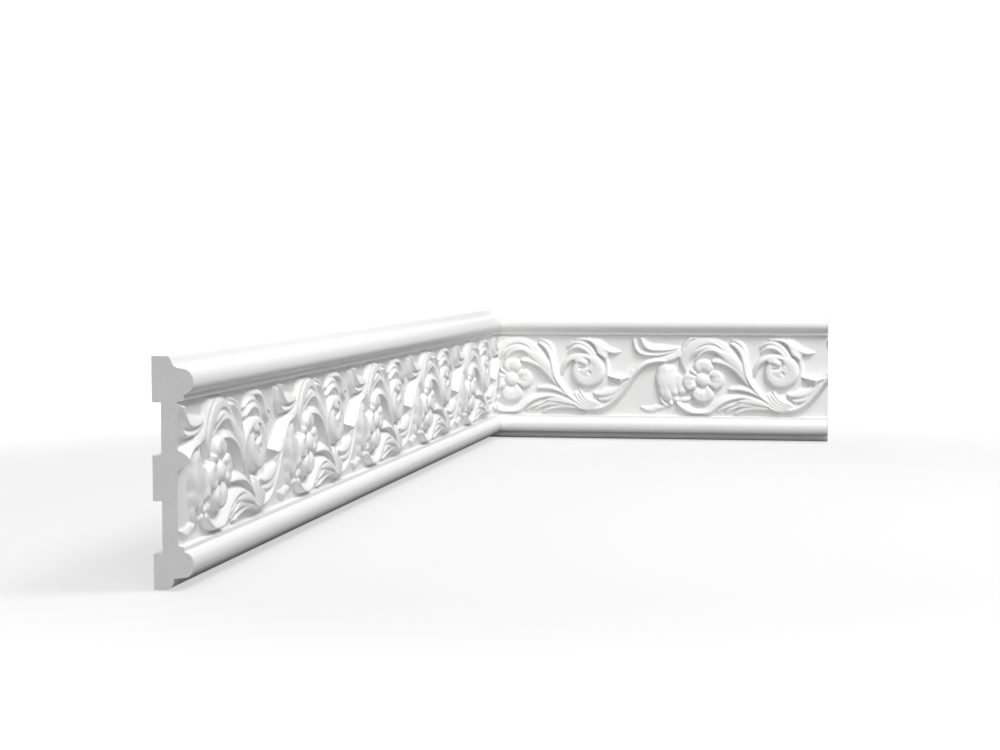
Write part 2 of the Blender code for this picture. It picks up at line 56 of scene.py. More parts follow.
# The section: each corner's depth from the wall and height
TOP_EDGE = (8.1, HEIGHT)
COVE_HEAD = (10.2, 106.3)
COVE_FOOT = (15.6, 104.05)
NOSE = (20.4, 97.6)
NOSE_FOOT = (16.6, 92.1)
TOP_FILLET = ((15.6, 91.8), (15.6, 89.3))
LOW_FILLET = (15.2, 20.2)
BEAD_HEAD = (15.2, 18.1)
BEAD = (19.7, 12.4)
BEAD_FOOT = (16.4, 6.2)
SOFFIT = (9.8, 5.2)
FOOT = (4.0, 0.0)
GROUND_DEPTH = 12.2
GROUND_LOW = 20.9
GROUND_HIGH = 88.5
CHANNELS = ((16.9, 41.8), (63.3, 88.2))
CHANNEL_DEPTH = 4.4

# The fine surface
RIDGE_DROP = 0.4         # a leaf's ridge lies this share of its half width below its middle
CARVING_ROUNDING = 0.34  # how far the cuts are rounded off
EDGE_MARGIN = 1.6        # the carving dies away over this
DRAWING_STEP = 0.25      # between the heights of the drawing
ALONG_STEP = 0.62        # between the sections of a bar
ACROSS_STEP = 0.52       # between a section's points on the ground
SPARE_LENGTH = 8.0       # beyond each end, sawn off afterwards
FACES = {"long_length": 186000, "short_length": 92000}

# How near counts as on the plane of a cut, on a corner of the section and on the box's sides
ON_PLANE = 0.001
ON_CORNER = 0.03
ON_SIDE = 0.01
ENDWISE = 0.3            # a face whose normal points this much along the bar is part of an end

# Material slots of a bar
PAINTED_FACE = 0
BACK = 1
CUT_FACE = 2
MITRED_FACE = 3

# The room's corner in the part's own frame, whose origin is the middle of its box's underside
CORNER = Vector((-SHORT_LENGTH/2, LONG_LENGTH/2, 0.0))

# The camera, from the room's corner
EYE = Vector((0.3316, -1.7660, 0.1565))
TURN_LEFT = math.radians(10.171)
TILT_DOWN = math.radians(3.294)
ROLL = math.radians(-0.135)
SENSOR = 36.0
FOCAL = 74.86

# The light: a soft window to the right and above, the pale room in front, the ceiling, a lamp behind
# that reaches only the backs, and a little from all round
KEY_PLACE = Vector((0.72, -0.62, 1.12))
KEY_AIM = Vector((0.05, -0.30, 0.05))
KEY_SIZE = 0.45
KEY_POWER = 10.8
FRONT_SIDE = (0.40, -0.75, 0.50)
FRONT_SPREAD = math.radians(50)
FRONT_STRENGTH = 1.38
CEILING_SPREAD = math.radians(70)
CEILING_STRENGTH = 0.75
BEHIND_SIDE = (-0.60, 0.80, 0.12)
BEHIND_SPREAD = math.radians(60)
BEHIND_STRENGTH = 2.0
ROOM_STRENGTH = 0.14
BACKGROUND_AS_SEEN = 1.1

# The floor is pale round the mouldings and fades to the white of the background, by a painted glow that
# only the camera sees, lower round the mouldings and full further out; it throws little light up under them
FLOOR_SIZE = 60.0
FLOOR_DROP = 0.4 * MM
FLOOR_AS_SEEN = (0.30, 0.30, 0.30, 1)
FLOOR_AS_BOUNCE = (0.22, 0.22, 0.22, 1)
FLOOR_GLOW = 0.58
FADE_START = 0.40
FADE_END = 1.0

# The places of a colour mix's two colours and of its result among its sockets
MIX_COLOURS = (6, 7)
MIX_RESULT = 2


def heading(degrees):
    return np.array([math.cos(math.radians(degrees)), math.sin(math.radians(degrees))])


def curve(root, tip, leave, arrive, pull=0.38, count=22):
    """A cubic from root to tip; leave and arrive are its headings there, in degrees."""
    root = np.array(root, float)
    tip = np.array(tip, float)
    handle = np.linalg.norm(tip - root) * pull
    first = root + handle * heading(leave)
    last = tip - handle * heading(arrive)
    t = np.linspace(0, 1, count)[:, None]
    return (1-t)**3*root + 3*(1-t)**2*t*first + 3*(1-t)*t*t*last + t**3*tip


def join(*runs):
    return np.vstack([runs[0]] + [run[1:] for run in runs[1:]])


def taper(t, root, middle, tip, at):
    """A value that goes smoothly from root through middle, reached at a share of the way, to tip."""
    rise = np.sin(np.clip(t/at, 0, 1)*math.pi/2)
    fall = 1 - np.cos(np.clip((t-at)/(1-at), 0, 1)*math.pi/2)
    return np.where(t < at, root + (middle-root)*rise, middle + (tip-middle)*fall)


def measure_from(line, x, z):
    """For each place: its distance from the line, its side of it, its share of the line's length and
    how level the line runs there, from 1 to the right to -1 to the left."""
    steps = np.linalg.norm(np.diff(line, axis=0), axis=1)
    run = np.concatenate([[0], np.cumsum(steps)])
    nearest = np.full(x.shape, 1e9)
    share = np.zeros(x.shape)
    side = np.ones(x.shape)
    level = np.zeros(x.shape)
    for i, (start, end) in enumerate(zip(line[:-1], line[1:])):
        dx, dz = end - start
        t = np.clip(((x-start[0])*dx + (z-start[1])*dz)/(dx*dx + dz*dz), 0, 1)
        off_x = x - start[0] - t*dx
        off_z = z - start[1] - t*dz
        distance = off_x*off_x + off_z*off_z
        closer = distance < nearest
        nearest = np.where(closer, distance, nearest)
        share = np.where(closer, (run[i] + t*steps[i])/run[-1], share)
        side = np.where(closer, np.where(dx*(z-start[1]) >= dz*(x-start[0]), 1.0, -1.0), side)
        level = np.where(closer, dx/math.hypot(dx, dz), level)
    return np.sqrt(nearest), side, share, level


class Frieze:
    """One repeat of the carving, as heights over the ground that the tools below raise and cut."""

    def __init__(self, step):
        count = round(REPEAT/step)
        self.step = REPEAT/count
        self.x = np.arange(count)*self.step
        self.z = np.arange(GROUND_LOW, GROUND_HIGH + step, self.step)
        self.height = np.zeros((len(self.z), count))

    def places(self, low, high):
        """The stretches of the repeat that lie between low and high, wrapped at its ends."""
        for turn in range(-1, 3):
            shift = turn*REPEAT
            inside = np.nonzero((self.x + shift >= low) & (self.x + shift <= high))[0]
            if len(inside):
                columns = slice(inside[0], inside[-1] + 1)
                x, z = np.meshgrid(self.x[columns] + shift, self.z)
                yield columns, x, z

    def leaf(self, line, width, rise, lift=0.6, lean=0.0, shape=1.8, at=0.5):
        """A swelling strand along a line. width is its half width and rise its height, at root, middle
        and tip; lift is the height of its edge. Its ridge lies nearer its lower side, the steeper one;
        lean moves the ridge on, + to the line's left."""
        reach = max(width) + 1
        for columns, x, z in self.places(line[:, 0].min() - reach, line[:, 0].max() + reach):
            distance, side, t, level = measure_from(line, x, z)
            across = side*distance/np.maximum(taper(t, *width, at), 0.01)
            top = taper(t, *rise, 0.5)
            ridge = np.clip(lean - RIDGE_DROP*level, -0.8, 0.8)
            slope = np.where(across > ridge, (across-ridge)/(1-ridge), (ridge-across)/(1+ridge))
            body = np.clip(1 - slope**shape, 0, 1)**(1/shape)
            raised = np.where(np.abs(across) < 1, np.minimum(lift + (top-lift)*body, top), 0)
            self.height[:, columns] = np.maximum(self.height[:, columns], raised)

    def groove(self, line, width, depth, at=0.5):
        reach = max(width) + 1
        for columns, x, z in self.places(line[:, 0].min() - reach, line[:, 0].max() + reach):
            distance, _, t, _ = measure_from(line, x, z)
            across = np.clip(distance/taper(t, *width, at), 0, 1)
            cut = taper(t, *depth, at)*(1 - across*across)**1.5
            self.height[:, columns] = np.maximum(self.height[:, columns] - cut, 0)

    def dome(self, centre, radius, rise, base=0.0):
        for columns, x, z in self.places(centre[0] - radius, centre[0] + radius):
            out = np.clip(np.hypot(x - centre[0], z - centre[1])/radius, 0, 1)
            raised = np.where(out < 1, base + (rise-base)*np.sqrt(1 - out*out), 0)
            self.height[:, columns] = np.maximum(self.height[:, columns], raised)

    def flower(self, centre, petals, rise, lift=0.8, well=2.2, flutes=16):
        """Petals (heading, reach, half angle) round one middle: each climbs to its rim and rolls over."""
        far = max(reach for _, reach, _ in petals)
        brim = 0.83
        for columns, x, z in self.places(centre[0] - far, centre[0] + far):
            out = np.hypot(x - centre[0], z - centre[1])
            bearing = np.degrees(np.arctan2(z - centre[1], x - centre[0]))
            raised = np.zeros(x.shape)
            for middle, reach, half in petals:
                turn = np.abs((bearing - middle + 180) % 360 - 180)
                edge = reach*(0.44 + 0.56*np.clip(1 - (turn/half)**2, 0, 1)**0.38)
                a = np.where(turn < half, out/edge, 2)
                climb = well + (rise-well)*np.sin(np.clip((a-0.30)/0.34, 0, 1)*math.pi/2)
                roll = lift + (rise-lift)*np.sqrt(np.clip(1 - ((a-brim)/(1-brim))**2, 0, 1))
                fold = 0.5 + 0.5*np.sqrt(np.clip(np.radians(half-turn)*out/1.8, 0, 1))
                flute = 0.13*np.cos(np.radians(turn)*flutes)*np.clip(4*a*(1-a), 0, 1)
                petal = (np.where(a < brim, climb, roll) + flute)*fold
                raised = np.maximum(raised, np.where(a < 1, petal, 0))
            before = self.height[:, columns]
            kept = np.where(out < 0.72*far, 0, before)
            self.height[:, columns] = np.where(raised > 0, np.maximum(raised, kept), before)

    def soften(self, spread):
        """Rounds off the cuts, as moulding from a worn master does."""
        reach = int(3*spread/self.step) + 1
        offsets = np.arange(-reach, reach + 1)
        weights = np.exp(-0.5*(offsets*self.step/spread)**2)
        weights = weights/weights.sum()
        self.height = sum(w*np.roll(self.height, k, axis=1) for k, w in zip(offsets, weights))
        padded = np.pad(self.height, ((reach, reach), (0, 0)), mode="edge")
        rows = len(self.z)
        self.height = sum(w*padded[reach+k:reach+k+rows] for k, w in zip(offsets, weights))

    def run_out(self, margin):
        """Lets the carving die away before the ground's upper and lower edges."""
        room = np.minimum(self.z - GROUND_LOW, GROUND_HIGH - self.z)
        share = np.clip(room/margin - 0.4, 0, 1)
        self.height = self.height*(share*share*(3 - 2*share))[:, None]

    def sample(self, along, height):
        """The carving's height over the ground at any place along the bar and up it."""
        column = (along % REPEAT)/self.step
        row = np.clip((height - self.z[0])/self.step, 0, len(self.z) - 1.001)
        left = np.floor(column).astype(int)
        low = np.floor(row).astype(int)
        across = column - left
        up = row - low
        count = len(self.x)
        lower = self.height[low, left % count]*(1-across) + self.height[low, (left+1) % count]*across
        upper = self.height[low+1, left % count]*(1-across) + self.height[low+1, (left+1) % count]*across
        return lower*(1-up) + upper*up


def carve_main_stem(frieze):
    """The S-shaped stem from the calyx up to the joint that the bell flower hangs from, and its leaves."""
    stem = join(curve((262, 26.5), (293, 52), 0, 57, 0.36), curve((293, 52), (322, 67.4), 55, -2, 0.44))
    frieze.leaf(stem, (3.6, 3.6, 3.1), (4.8, 6.8, 5.0), lift=0.3, lean=0.25, shape=1.4, at=0.4)
    frieze.leaf(curve((156, 68.4), (171, 74.6), 5, 50), (2.4, 3.8, 2.2), (3.8, 4.4, 3.4), lift=1.0)
    blade = join(curve((289, 50), (276, 40.8), 232, 196), curve((276, 40.8), (261.8, 39.3), 196, 176))
    frieze.leaf(blade, (1.4, 4.4, 1.9), (5.8, 5.4, 4.2), lift=0.8, at=0.55)
    line = curve((287, 44.6), (266, 34.2), 228, 182, 0.42)
    frieze.leaf(line, (1.4, 3.6, 1.6), (6.2, 5.4, 4.0), lift=2.0)
    under_curl = curve((274.8, 53.2), (283.0, 49.6), -22, -28)
    frieze.leaf(under_curl, (0.4, 2.8, 3.7), (4.4, 6.8, 7.0), lift=0.2, shape=1.1, lean=1.2)
    line = curve((295, 58.6), (274.0, 54.4), 226, 160, 0.46)
    frieze.leaf(line, (1.4, 1.2, 0.6), (5.8, 6.8, 4.6), lift=3.0)
    line = curve((295, 56.0), (283.8, 47.0), 226, 262, 0.42)
    frieze.leaf(line, (1.6, 1.7, 1.2), (5.8, 7.0, 5.8), lift=2.0)
    line = curve((293, 51.0), (285.4, 45.0), 228, 235, 0.42)
    frieze.leaf(line, (1.4, 1.6, 1.0), (6.4, 6.4, 4.4), lift=1.6)
    frieze.groove(curve((293, 57.0), (279, 53.0), 222, 176), (0.5, 0.7, 0.5), (0.4, 1.0, 0.6))


def carve_bell_flower(frieze):
    line = curve((160.2, 57.2), (163.4, 44), 270, 274)
    frieze.leaf(line, (8.6, 10.4, 11.4), (4.2, 4.8, 4.4), lift=0.5, lean=-0.5, at=0.4, shape=1.8)
    lobes = (((157, 50), (157.0, 39.4), 3.4, 2.4), ((160.5, 48), (161.2, 35.8), 3.4, 3.8),
             ((165.5, 50), (167.2, 41.0), 4.0, 4.2), ((170.5, 52), (173.4, 42.0), 4.2, 4.4))
    for root, tip, half, end in lobes:
        line = curve(root, tip, 268, 266)
        frieze.leaf(line, (3.4, half, 0.85*half), (3.0, 3.6, end), lift=0.6*end)
    partings = (((153.0, 57), (158.4, 38), 0.6), ((160.0, 50), (164.0, 38.0), 0.5),
                ((168.5, 47), (170.6, 38), 0.4))
    for root, tip, depth in partings:
        frieze.groove(curve(root, tip, 280, 273), (1.2, 1.6, 1.2), (0.0, 0.5*depth, depth))
    frieze.leaf(curve((155.0, 37), (161.5, 29.4), 275, -20), (0.9, 1.3, 0.9), (2.4, 2.6, 2.0), lift=1.4)
    frieze.leaf(curve((170.5, 34.6), (180, 35.4), 0, 15), (1.6, 2.4, 1.2), (2.6, 3.0, 2.0), lift=1.6)
    for centre in ((164.0, 31.3), (168.4, 34.2)):
        frieze.dome(centre, 2.3, 3.9, base=1.0)
    for root, tip, half in (((156.5, 28.8), (138.8, 27.8), 2.4), ((160, 29.2), (150, 29.0), 1.8)):
        line = curve(root, tip, 198, 158, 0.45)
        frieze.leaf(line, (1.2, half, 0.6), (1.4, 1.9, 1.5), lift=0.2, lean=0.3, shape=1.8)


def carve_curl_leaf(frieze):
    """Strands that run back from the joint under the top moulding."""
    lower = join(curve((171, 77.0), (148, 72.9), 198, 180, 0.40),
                 curve((148, 72.9), (132.9, 84.8), 180, 97, 0.52))
    frieze.leaf(lower, (0.8, 2.3, 1.6), (2.6, 4.2, 3.4), lift=0.4, lean=0.1, shape=1.4)
    upper = join(curve((171, 78.6), (152, 78.0), 190, 180, 0.40),
                 curve((152, 78.0), (139.6, 86.6), 180, 112, 0.46))
    frieze.leaf(upper, (0.8, 3.4, 2.4), (3.0, 4.6, 4.0), lift=0.4, lean=0.3, shape=1.3)


def carve_crest_leaf(frieze):
    """The leaf that arches over the flower, with fingers that turn down its left side."""
    body = join(curve((229.8, 46.4), (215.4, 65.6), 122, 146, 0.35),
                curve((215.4, 65.6), (200.4, 68.0), 146, 192))
    frieze.leaf(body, (1.2, 6.0, 2.9), (5.2, 5.6, 5.0), lift=0.6, at=0.66, lean=0.3, shape=1.3)
    web = join(curve((227, 52), (213.4, 69.6), 114, 142), curve((213.4, 69.6), (203, 74.4), 142, 172))
    frieze.leaf(web, (1.6, 5.0, 1.4), (5.0, 5.5, 5.2), lift=3.0, shape=2.4, at=0.6)
    mantle = join(curve((224, 58), (214, 72.5), 110, 140), curve((214, 72.5), (186, 80.4), 140, 196),
                  curve((186, 80.4), (176.6, 58.8), 200, 290, 0.42))
    frieze.leaf(mantle, (1.5, 7.4, 0.9), (4.8, 4.6, 3.6), lift=1.2, at=0.69, shape=2.2)
    line = join(curve((224, 60), (216, 73), 108, 138), curve((216, 73), (172.0, 73.5), 138, 250, 0.55))
    frieze.leaf(line, (1.0, 2.0, 1.4), (4.8, 4.6, 3.0), lift=1.4)
    line = curve((180, 77), (167.5, 70.0), 215, 215, 0.45)
    frieze.leaf(line, (3.0, 3.2, 1.6), (3.8, 3.6, 3.4), lift=0.8)
    line = join(curve((220, 64), (211, 72.2), 125, 150), curve((211, 72.2), (184.2, 68.0), 150, 232, 0.52))
    frieze.leaf(line, (0.8, 2.4, 0.7), (4.4, 5.5, 2.6), lift=2.0, at=0.6)
    frieze.groove(curve((211, 76.4), (176, 77.6), 135, 232, 0.50), (0.8, 1.1, 0.8), (0.6, 1.4, 0.8))
    frieze.groove(curve((208, 76.0), (185.4, 76.6), 142, 216, 0.44), (0.8, 1.2, 0.9), (0.4, 1.5, 0.9))
    frieze.groove(curve((186, 76.0), (179.5, 62.5), 225, 282, 0.42), (0.6, 1.3, 0.6), (0.3, 0.7, 0.3))
    frieze.groove(curve((177.5, 80.0), (172.0, 69.0), 240, 262, 0.4), (0.6, 1.1, 0.6), (0.4, 0.9, 0.3))


def carve_long_leaf(frieze):
    blade = join(curve((246, 33), (226.8, 62), 138, 98, 0.36),
                 curve((226.8, 62), (215.0, 82.2), 98, 158, 0.42))
    frieze.leaf(blade, (1.4, 3.2, 1.4), (5.6, 6.0, 4.4), lift=0.6, at=0.75, lean=0.25, shape=1.4)
    line = curve((226.8, 64), (215.0, 84.8), 90, 172, 0.48)
    frieze.leaf(line, (0.8, 2.0, 0.9), (3.4, 3.6, 2.4), lift=0.3)


def carve_low_leaves(frieze):
    """The stem that rings the flower from below, and the leaves over and under it."""
    line = curve((246, 33), (213.6, 43.6), 141, 194, 0.45)
    frieze.leaf(line, (1.2, 3.8, 1.4), (5.2, 5.6, 3.2), lift=0.6, at=0.6, lean=0.2, shape=1.3)
    ring = join(curve((247, 30), (222, 37.8), 150, 184),
                curve((222, 37.8), (200.6, 28.4), 186, 224, 0.36),
                curve((200.6, 28.4), (171.5, 31), 220, 142, 0.40))
    frieze.leaf(ring, (1.6, 3.2, 3.2), (4.8, 5.0, 4.4), lift=0.5, lean=0.2, shape=1.3)
    web = curve((248, 29.2), (221.5, 33.2), 158, 188)
    frieze.leaf(web, (1.6, 3.4, 1.2), (4.8, 5.2, 4.2), lift=2.6, shape=2.2)
    for tip, leave in (((203.6, 24.8), 166), ((210.5, 24.8), 170), ((217.8, 22.8), 173)):
        line = curve((250, 27.3), tip, leave, 217, 0.42)
        frieze.leaf(line, (1.8, 3.2, 1.0), (4.2, 4.4, 3.0), lift=0.8, lean=0.25, shape=1.3)
    frieze.groove(curve((222, 31.6), (215.4, 28.0), 205, 215), (0.6, 1.2, 0.9), (0.6, 2.0, 1.4))


def carve_volute(frieze):
    """The scroll: its outer turn, the full coil within it, and the lobes that part at its upper left."""
    turn = join(curve((250, 34), (266, 41), 5, 40, 0.35),
                curve((266, 41), (271.8, 69.5), 48, 100, 0.36))
    frieze.leaf(turn, (4.5, 3.0, 2.0), (4.0, 2.6, 3.6), lift=0.2)
    line = curve((263.5, 69), (238.8, 78.6), 112, 226, 0.48)
    frieze.leaf(line, (2.6, 2.4, 0.8), (4.0, 4.0, 2.2), lift=0.8, at=0.45)
    line = curve((262.0, 67), (239.8, 74.0), 114, 236, 0.52)
    frieze.leaf(line, (2.6, 2.8, 0.8), (4.2, 4.8, 3.0), lift=0.8, at=0.5)
    turns = np.linspace(0, 1, 60)
    bearing = np.radians(158 + 322*turns)
    radius = 9.5 - 3.0*np.clip((turns - 0.76)/0.24, 0, 1)**1.5
    coil = np.stack([256.0 + radius*np.cos(bearing), 60.0 + 1.02*radius*np.sin(bearing)], axis=1)
    frieze.leaf(coil, (3.0, 6.4, 2.8), (4.4, 5.0, 4.8), lift=0.6, at=0.44, shape=2.6)
    frieze.dome((256.0, 60.0), 8.6, 4.8, base=3.6)
    frieze.leaf(curve((247.5, 68.0), (254.4, 65.4), 0, -40), (3.2, 3.4, 2.9), (5.0, 5.8, 5.6), lift=3.6)
    line = curve((257, 70.2), (234.6, 55.6), 172, 262, 0.50)
    frieze.leaf(line, (3.0, 2.7, 0.8), (5.2, 4.8, 2.8), lift=2.2)
    eye = join(curve((253.0, 68.8), (257.4, 65.2), -20, 268, 0.45),
               curve((257.4, 65.2), (249.4, 60.6), 262, 176, 0.5))
    frieze.groove(eye, (0.7, 1.5, 1.2), (0.8, 2.6, 1.8))
    frieze.groove(curve((257.2, 57.8), (258.4, 55.8), 290, 290), (1.1, 1.3, 1.1), (1.2, 1.8, 1.2))
    frieze.groove(curve((270.0, 68.5), (270.6, 57), 280, 268), (1.0, 1.4, 0.7), (0.6, 0.9, 0.2))


def carve_scroll_crest(frieze):
    """The leaf on top of the scroll: strands that fan up and left, and a pointed tip to the right."""
    frieze.leaf(curve((271, 70), (265.5, 84.0), 84, 112), (2.0, 4.2, 2.2), (4.6, 4.2, 2.8), lift=1.6)
    strands = 4
    for k in range(strands):
        s = k/(strands-1)
        tip = (246.5 + 15.5*s, 85.2 + 1.4*math.sin(0.8*math.pi*s))
        bend = (265 + 2.2*s, 76 + 1.5*s)
        strand = join(curve((271.6, 69.6), bend, 140 - 8*s, 108),
                      curve(bend, tip, 106, 182 - 52*s, 0.48))
        frieze.leaf(strand, (1.0, 1.9, 0.9), (5.0, 5.0 - 0.4*s, 2.8), lift=2.6)
    line = curve((268, 79.4), (283.6, 74.6), -38, 4)
    frieze.leaf(line, (2.6, 2.8, 0.6), (4.0, 4.4, 2.4), lift=0.6, shape=1.4)


def carve_calyx(frieze):
    """The wrapped leaf at the foot that every stem springs from."""
    line = curve((247, 38), (268, 29), 296, 4, 0.42)
    frieze.leaf(line, (3.5, 6.2, 3.5), (3.6, 4.8, 3.8), lift=0.6, shape=1.6)
    strands = 5
    for k in range(strands):
        s = k/(strands-1)
        strand = curve((243 + 7*s, 33.5 + 8.5*s), (263 + 6.0*s, 25.8 + 6*s), 302 - 8*s, 4*s, 0.42)
        frieze.leaf(strand, (0.8, 1.8, 1.0), (4.0, 5.6 - 0.4*s, 3.8), lift=3.0)
    frieze.groove(curve((261, 39.2), (266.8, 31.4), 290, 318), (0.8, 1.5, 1.2), (1.4, 3.0, 2.0))


def carve_flower(frieze):
    petals = ((88, 17.6, 43), (141, 14.0, 12), (189, 18.0, 38), (270, 20.2, 43), (0, 17.6, 43))
    frieze.flower((191.2, 51.2), petals, rise=5.2)
    frieze.dome((190.7, 50.6), 5.8, 6.4, base=3.0)


def carve_frieze():
    frieze = Frieze(DRAWING_STEP)
    carve_main_stem(frieze)
    carve_bell_flower(frieze)
    carve_curl_leaf(frieze)
    carve_crest_leaf(frieze)
    carve_long_leaf(frieze)
    carve_low_leaves(frieze)
    carve_volute(frieze)
    carve_scroll_crest(frieze)
    carve_calyx(frieze)
    carve_flower(frieze)
    frieze.soften(CARVING_ROUNDING)
    frieze.run_out(EDGE_MARGIN)
    return frieze


def straight(start, end, step):
    count = max(1, round(math.dist(start, end)/step))
    t = np.linspace(0, 1, count + 1)[:, None]
    return np.array(start)*(1-t) + np.array(end)*t


def bar_section():
    """The bar's outline, once round from the top of its face to the top of its back."""
    top_round = curve(TOP_EDGE, COVE_HEAD, -38, -64, 0.36, 9)
    cove = curve(COVE_HEAD, COVE_FOOT, -64, -8, 0.36, 12)
    nose = join(curve(COVE_FOOT, NOSE, -8, -90, 0.38, 14), curve(NOSE, NOSE_FOOT, -90, -146, 0.42, 10))
    ground = straight((GROUND_DEPTH, GROUND_HIGH), (GROUND_DEPTH, GROUND_LOW), ACROSS_STEP)
    bead = join(curve(BEAD_HEAD, BEAD, -14, -90, 0.40, 14), curve(BEAD, BEAD_FOOT, -90, -160, 0.36, 10))
    foot = curve(SOFFIT, FOOT, -90, -180, 0.5, 10)
    face = np.vstack([join(top_round, cove, nose), TOP_FILLET, ground, LOW_FILLET, bead, foot])
    back = [(0, 0)]
    for low, high in CHANNELS:
        back += [(0, low), (CHANNEL_DEPTH, low), (CHANNEL_DEPTH, high), (0, high)]
    back.append((0, HEIGHT))
    return face, np.array(back, float)


def keen_corners():
    """The section's corners that stay sharp."""
    corners = [TOP_EDGE, NOSE_FOOT, *TOP_FILLET, (GROUND_DEPTH, GROUND_HIGH), (GROUND_DEPTH, GROUND_LOW),
               LOW_FILLET, BEAD_HEAD, BEAD_FOOT, SOFFIT]
    return np.array(corners)


def draw_bar(name, start, end, frieze):
    """The bar as an open tube along +X from start to end, depth along +Y and height along +Z, all in mm."""
    face, back = bar_section()
    section = np.vstack([face, back])
    rows = len(section)
    count = round((end - start)/ALONG_STEP) + 1
    along = np.repeat(np.linspace(start, end, count), rows)
    depth = np.tile(section[:, 0], count)
    height = np.tile(section[:, 1], count)
    on_ground = np.isclose(depth, GROUND_DEPTH) & (height > GROUND_LOW) & (height < GROUND_HIGH)
    depth = depth + np.where(on_ground, frieze.sample(along, height), 0)
    first = np.arange(count - 1)[:, None]*rows + np.arange(rows)[None, :]
    beside = np.arange(count - 1)[:, None]*rows + (np.arange(rows)[None, :] + 1) % rows
    quads = np.stack([first, beside, beside + rows, first + rows], axis=-1).reshape(-1, 4)
    mesh = bpy.data.meshes.new(name)
    mesh.from_pydata(np.stack([along, depth, height], axis=1).tolist(), [], quads.tolist())
    return mesh


def thin_flats(mesh, faces):
    """Fewer faces where the surface is plain, as many as the count allows where it is carved."""
    bar = bpy.data.objects.new("bar_being_drawn", mesh)
    bpy.context.scene.collection.objects.link(bar)
    thin = bar.modifiers.new("thin_flats", "DECIMATE")
    triangles = 2*len(mesh.polygons)
    thin.ratio = faces/triangles
    thinned = bpy.data.meshes.new_from_object(bar.evaluated_get(bpy.context.evaluated_depsgraph_get()))
    bpy.data.objects.remove(bar, do_unlink=True)
    bpy.data.meshes.remove(mesh)
    return thinned


def saw_ends(mesh, cuts):
    """Cuts the tube at each plane (a point, the direction of the waste, a finish) and closes the cut."""
    bm = bmesh.new()
    bm.from_mesh(mesh)
    for point, waste, finish in cuts:
        whole = bm.verts[:] + bm.edges[:] + bm.faces[:]
        bmesh.ops.bisect_plane(bm, geom=whole, plane_co=point, plane_no=waste, clear_outer=True)
        rim = [edge for edge in bm.edges if edge.is_boundary
               and all(abs((vert.co - Vector(point)).dot(Vector(waste))) < ON_PLANE for vert in edge.verts)]
        closed = bmesh.ops.holes_fill(bm, edges=rim, sides=0)
        for cut_face in closed["faces"]:
            cut_face.material_index = finish
    bm.to_mesh(mesh)
    bm.free()


def dress_faces(mesh):
    """Material slots by place: the painted face, the bare back and the sawn ends; then what is smooth."""
    count = len(mesh.polygons)
    centre = np.empty(count*3)
    normal = np.empty(count*3)
    slot = np.empty(count, dtype=np.int32)
    mesh.polygons.foreach_get("center", centre)
    mesh.polygons.foreach_get("normal", normal)
    mesh.polygons.foreach_get("material_index", slot)
    _, depth, height = centre.reshape(-1, 3).T
    behind = (depth < CHANNEL_DEPTH + ON_SIDE) & (height > ON_SIDE) & (height < HEIGHT - ON_SIDE)
    lengthwise = np.abs(normal.reshape(-1, 3)[:, 0]) < ENDWISE
    slot[behind & lengthwise & (slot == PAINTED_FACE)] = BACK
    mesh.polygons.foreach_set("material_index", slot)
    mesh.polygons.foreach_set("use_smooth", np.full(count, True))
    mark_sharp(mesh)


def mark_sharp(mesh):
    """Sharp edges: along the section's keen corners and round each cut."""
    places = np.empty(len(mesh.vertices)*3)
    mesh.vertices.foreach_get("co", places)
    _, depth, height = places.reshape(-1, 3).T
    keen = np.zeros(len(depth), dtype=bool)
    for corner_depth, corner_height in np.vstack([keen_corners(), bar_section()[1]]):
        keen |= (np.abs(depth - corner_depth) < ON_CORNER) & (np.abs(height - corner_height) < ON_CORNER)
    ends = np.empty(len(mesh.edges)*2, dtype=np.int32)
    mesh.edges.foreach_get("vertices", ends)
    ends = ends.reshape(-1, 2)
    sharp = keen[ends[:, 0]] & keen[ends[:, 1]]
    sharp |= edge_of_cut(mesh)
    mark = mesh.attributes.get("sharp_edge") or mesh.attributes.new("sharp_edge", "BOOLEAN", "EDGE")
    mark.data.foreach_set("value", sharp)


def edge_of_cut(mesh):
    rim = np.zeros(len(mesh.edges), dtype=bool)
    for polygon in mesh.polygons:
        if polygon.material_index in (CUT_FACE, MITRED_FACE):
            for loop in polygon.loop_indices:
                rim[mesh.loops[loop].edge_index] = True
    return rim


def place_bar(mesh, turn):
    """Turns the drawn bar, in millimetres along +X, onto its wall."""
    mesh.transform(turn)
    bm = bmesh.new()
    bm.from_mesh(mesh)
    bmesh.ops.recalc_face_normals(bm, faces=bm.faces)
    bm.to_mesh(mesh)
    bm.free()


def make_bar(name, start, end, cuts, turn, frieze, finishes):
    mesh = draw_bar(name, start - SPARE_LENGTH, end + SPARE_LENGTH, frieze)
    mesh = thin_flats(mesh, FACES[name])
    mesh.name = name + "_fine"
    saw_ends(mesh, cuts)
    dress_faces(mesh)
    place_bar(mesh, turn)
    for finish in finishes:
        mesh.materials.append(finish)
    bar = bpy.data.objects.new(name + "_carved", mesh)
    bpy.context.scene.collection.objects.link(bar)
    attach(bar, "root")
    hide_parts(name)
    return bar


def new_group(name, inputs, outputs):
    group = bpy.data.node_groups.new(name, "ShaderNodeTree")
    for socket, kind, value in inputs:
        made = group.interface.new_socket(name=socket, in_out="INPUT", socket_type=kind)
        if value is not None:
            made.default_value = value
    for socket, kind in outputs:
        group.interface.new_socket(name=socket, in_out="OUTPUT", socket_type=kind)
    entry = group.nodes.new("NodeGroupInput")
    leave = group.nodes.new("NodeGroupOutput")
    return group, entry, leave


def feed(tree, socket, value):
    """Links a socket to an output, or sets it to a plain value."""
    if isinstance(value, bpy.types.NodeSocket):
        tree.links.new(value, socket)
    else:
        socket.default_value = value


